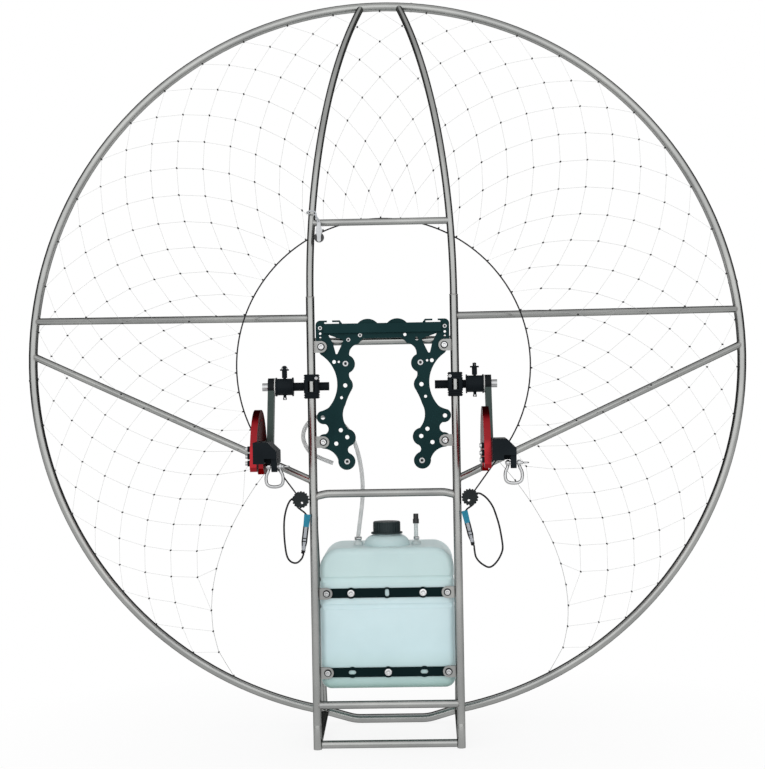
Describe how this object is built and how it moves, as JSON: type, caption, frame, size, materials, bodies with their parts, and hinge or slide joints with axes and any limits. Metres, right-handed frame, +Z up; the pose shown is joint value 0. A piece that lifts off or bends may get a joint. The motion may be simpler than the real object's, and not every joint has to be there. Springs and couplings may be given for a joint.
{
  "type": "paramotor chassis",
  "caption": "Tubular ladder frame with a round propeller-cage hoop, fuel tank, engine plate and clamped swing arms ending in shackles; carries a paramotor engine on a pilot's back.",
  "frame": {"origin": "floor level, at the middle of the outline seen from above", "axes": "+Z up, -Y towards the pilot, +Y towards the cage hoop and propeller, +X to the right in the picture"},
  "size_m": [1.4702, 0.5606, 1.4749],
  "materials": {
    "titanium_tube": "bare drawn titanium tube, satin",
    "tab_steel": "bare welded tab",
    "black_anodised": "black anodised sheet",
    "strap_plastic": "black anodised strap",
    "tank_plastic": "translucent blow-moulded plastic",
    "cap_plastic": "black moulded plastic",
    "fitting_plastic": "clear and pale moulded fittings",
    "black_metal": "black anodised turned parts",
    "nylon": "white nylon",
    "stainless": "polished stainless",
    "arm_grey": "hard anodised grey",
    "red_anodised": "red anodised",
    "net_cord": "braided cord",
    "lock_plastic": "black moulded",
    "cord_black": "braided cord",
    "tab_webbing": "woven tape",
    "hose_clear": "clear fuel hose"
  },
  "bodies": {
    "chassis": {"arm_hub_left": "black_metal", "arm_hub_right": "black_metal", "axle_clamp_left": "black_metal", "axle_clamp_right": "black_metal", "axle_left": "black_metal", "axle_right": "black_metal", "cage_net": "net_cord", "cord_lock_left": "lock_plastic", "cord_lock_right": "lock_plastic", "cord_tail_left": "cord_black", "cord_tail_right": "cord_black", "cross_tube_engine": "titanium_tube", "cross_tube_foot": "titanium_tube", "cross_tube_lower": "titanium_tube", "cross_tube_middle": "titanium_tube", "cross_tube_top": "titanium_tube", "engine_beam": "black_anodised", "engine_plate": "black_anodised", "fuel_hose": "hose_clear", "fuel_outlet": "fitting_plastic", "fuel_tank": "tank_plastic", "hoop_bottom": "titanium_tube", "hoop_lower_left": "titanium_tube", "hoop_lower_right": "titanium_tube", "hoop_upper_left": "titanium_tube", "hoop_upper_right": "titanium_tube", "hub_washer_left": "nylon", "hub_washer_right": "nylon", "lock_pin_left": "black_metal", "lock_pin_right": "black_metal", "net_cord": "net_cord", "pivot_bolt_left": "stainless", "pivot_bolt_right": "stainless", "plate_tabs": "tab_steel", "pull_tab_left": "tab_webbing", "pull_tab_right": "tab_webbing", "rear_brace_left": "titanium_tube", "rear_brace_right": "titanium_tube", "spar_low_left": "titanium_tube", "spar_low_right": "titanium_tube", "spar_side_left": "titanium_tube", "spar_side_right": "titanium_tube", "spar_top_left": "titanium_tube", "spar_top_right": "titanium_tube", "starter_pulley": "stainless", "tank_strap_lower": "strap_plastic", "tank_strap_upper": "strap_plastic", "tank_tabs": "tab_steel", "tank_vent": "fitting_plastic", "upright_left": "titanium_tube", "upright_right": "titanium_tube"},
    "arm_left": {"arm_bar_left": "arm_grey", "arm_arc_left": "red_anodised", "arm_block_left": "black_metal"},
    "arm_right": {"arm_bar_right": "arm_grey", "arm_arc_right": "red_anodised", "arm_block_right": "black_metal"},
    "shackle_left": {"shackle_left": "stainless"},
    "shackle_right": {"shackle_right": "stainless"},
    "fuel_cap": {"fuel_cap": "cap_plastic"}
  },
  "joints": [
    {"name": "arm_left_swing", "type": "hinge", "parent": "chassis", "child": "arm_left", "pos_m": [-0.21435, 0.0377, 0.691], "axis": [-1, 0, 0], "range_deg": [0, 60]},
    {"name": "arm_right_swing", "type": "hinge", "parent": "chassis", "child": "arm_right", "pos_m": [0.19935, 0.0377, 0.691], "axis": [-1, 0, 0], "range_deg": [0, 60]},
    {"name": "shackle_left_swing", "type": "hinge", "parent": "arm_left", "child": "shackle_left", "pos_m": [-0.18435, -0.2663, 0.5535], "axis": [1, 0, 0], "range_deg": [-60, 60]},
    {"name": "shackle_right_swing", "type": "hinge", "parent": "arm_right", "child": "shackle_right", "pos_m": [0.22935, -0.2663, 0.5535], "axis": [1, 0, 0], "range_deg": [-60, 60]},
    {"name": "fuel_cap_turn", "type": "hinge", "parent": "chassis", "child": "fuel_cap", "pos_m": [0, 0.1007, 0.4025], "axis": [0, 0, 1], "continuous": true}
  ]
}
